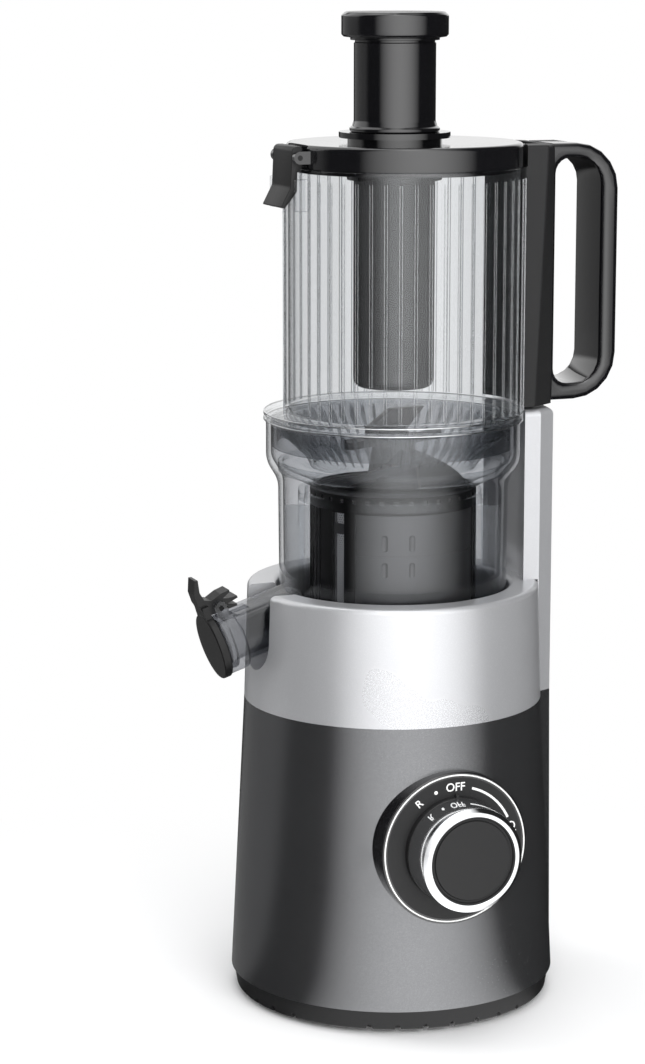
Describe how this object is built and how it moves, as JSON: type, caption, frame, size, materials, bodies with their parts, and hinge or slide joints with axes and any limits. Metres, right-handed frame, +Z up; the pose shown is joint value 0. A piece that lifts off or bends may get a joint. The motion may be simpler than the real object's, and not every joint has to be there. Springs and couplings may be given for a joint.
{
  "type": "cold press juicer",
  "caption": "Upright cold press juicer with a silver and graphite base, smoky juice bowl, ribbed clear hopper, black handle, hinged lid, pusher and capped spout.",
  "frame": {"origin": "centre of the feet's resting plane, on the auger's axis", "axes": "+Z up along the auger's axis, dial on -Y, juice spout on -X, handle on +X"},
  "size_m": [0.2037, 0.179, 0.4524],
  "materials": {
    "black_gloss": "polished",
    "black_satin": "satin",
    "graphite": "satin",
    "silver": "satin",
    "smoky_clear": "polished",
    "strainer_grey": "satin",
    "clear": "polished",
    "steel": "brushed",
    "machined_steel": "machined",
    "chrome": "polished",
    "rubber": "matt",
    "silicone": "matt",
    "white_plastic": "satin",
    "brass_zinc": "plated",
    "copper": "enamelled",
    "board_green": "lacquered",
    "auger_grey": "satin"
  },
  "bodies": {
    "base": {"base_cover": "black_gloss", "rubber_feet": "rubber", "housing_screws": "machined_steel", "lower_housing": "graphite", "cord_inlet": "rubber", "collar": "silver", "column": "silver", "interlock_spring": "machined_steel", "interlock_switch": "black_satin", "drive_deck": "black_satin", "shaft_seal": "silicone", "gear_plate": "machined_steel", "gear_case": "black_satin", "gear_axle": "machined_steel", "shaft_bearings": "machined_steel", "motor_can": "machined_steel", "motor_stator": "machined_steel", "motor_coils": "copper", "motor_bearings": "brass_zinc", "motor_screws": "machined_steel", "circuit_board": "board_green", "rotary_switch": "black_satin", "dial_bezel": "black_gloss", "dial_face": "black_satin"},
    "knob": {"knob": "black_satin", "knob_rim": "chrome", "knob_cap": "black_satin"},
    "rotor": {"motor_rotor": "machined_steel", "motor_shaft": "machined_steel", "cooling_fan": "black_satin"},
    "transfer": {"transfer_gear": "white_plastic"},
    "output": {"drive_shaft": "machined_steel", "output_gear": "machined_steel"},
    "plunger": {"interlock_plunger": "white_plastic"},
    "bowl": {"juice_bowl": "smoky_clear", "juice_floor": "smoky_clear", "juice_spout": "smoky_clear", "pulp_duct": "smoky_clear", "bowl_gasket": "silicone", "drip_pin": "chrome", "strainer_frame": "strainer_grey", "strainer_mesh": "steel"},
    "flap": {"drip_flap": "graphite", "drip_seal": "silicone"},
    "wiper": {"wiper_frame": "auger_grey", "wiper_blades": "silicone"},
    "pinion": {"wiper_pinion": "white_plastic"},
    "auger": {"auger": "auger_grey", "auger_socket": "machined_steel", "feed_blade": "auger_grey"},
    "hopper": {"hopper": "clear", "handle_block": "black_gloss", "handle_grip": "black_gloss", "hinge_pin": "machined_steel"},
    "lid": {"lid": "black_gloss", "lid_skirt": "black_gloss", "latch_pin": "machined_steel"},
    "latch": {"lid_latch": "black_gloss"},
    "pusher": {"pusher_tube": "black_gloss", "pusher_cap": "black_gloss"}
  },
  "joints": [
    {"name": "dial_turn", "type": "hinge", "parent": "base", "child": "knob", "pos_m": [0, -0.074, 0.086], "axis": [0, 1, 0], "range_deg": [-38, 78]},
    {"name": "auger_spin", "type": "hinge", "parent": "bowl", "child": "auger", "pos_m": [0, 0, 0.168], "axis": [0, 0, 1], "continuous": true},
    {"name": "shaft_spin", "type": "hinge", "parent": "base", "child": "output", "pos_m": [0, 0, 0.13], "axis": [0, 0, 1], "continuous": true},
    {"name": "transfer_spin", "type": "hinge", "parent": "base", "child": "transfer", "pos_m": [0.03625, 0, 0.1], "axis": [0, 0, 1], "continuous": true},
    {"name": "motor_spin", "type": "hinge", "parent": "base", "child": "rotor", "pos_m": [0, 0, 0.056], "axis": [0, 0, 1], "continuous": true},
    {"name": "wiper_spin", "type": "hinge", "parent": "bowl", "child": "wiper", "pos_m": [0, 0, 0.168], "axis": [0, 0, 1], "continuous": true},
    {"name": "wiper_pinion_spin", "type": "hinge", "parent": "bowl", "child": "pinion", "pos_m": [-0.01856, -0.01856, 0.168], "axis": [0, 0, 1], "continuous": true},
    {"name": "interlock_press", "type": "slide", "parent": "base", "child": "plunger", "axis": [0, 0, 1], "range_m": [-0.0025, 0], "stiffness_N_per_m": 120, "springref_m": 0.0015, "deforming": ["interlock_spring"]},
    {"name": "bowl_lift", "type": "slide", "parent": "base", "child": "bowl", "axis": [0, 0, 1], "range_m": [0, 0.12]},
    {"name": "flap_swing", "type": "hinge", "parent": "bowl", "child": "flap", "pos_m": [-0.08643, 0, 0.18891], "axis": [0, 1, 0], "range_deg": [0, 30]},
    {"name": "hopper_lift", "type": "slide", "parent": "bowl", "child": "hopper", "axis": [0, 0, 1], "range_m": [0, 0.12]},
    {"name": "lid_hinge", "type": "hinge", "parent": "hopper", "child": "lid", "pos_m": [0.063, 0, 0.3895], "axis": [0, 1, 0], "range_deg": [0, 17]},
    {"name": "latch_turn", "type": "hinge", "parent": "lid", "child": "latch", "pos_m": [-0.051, 0, 0.3895], "axis": [0, 1, 0], "range_deg": [0, 30]},
    {"name": "pusher_lift", "type": "slide", "parent": "lid", "child": "pusher", "axis": [0, 0, 1], "range_m": [0, 0.115]}
  ],
  "couplings": [
    {"joint": "shaft_spin", "follows": "auger_spin", "ratio": 1},
    {"joint": "transfer_spin", "follows": "auger_spin", "ratio": -3.4615},
    {"joint": "motor_spin", "follows": "auger_spin", "ratio": 13.269},
    {"joint": "wiper_spin", "follows": "auger_spin", "ratio": -0.4},
    {"joint": "wiper_pinion_spin", "follows": "auger_spin", "ratio": -1.3333}
  ]
}
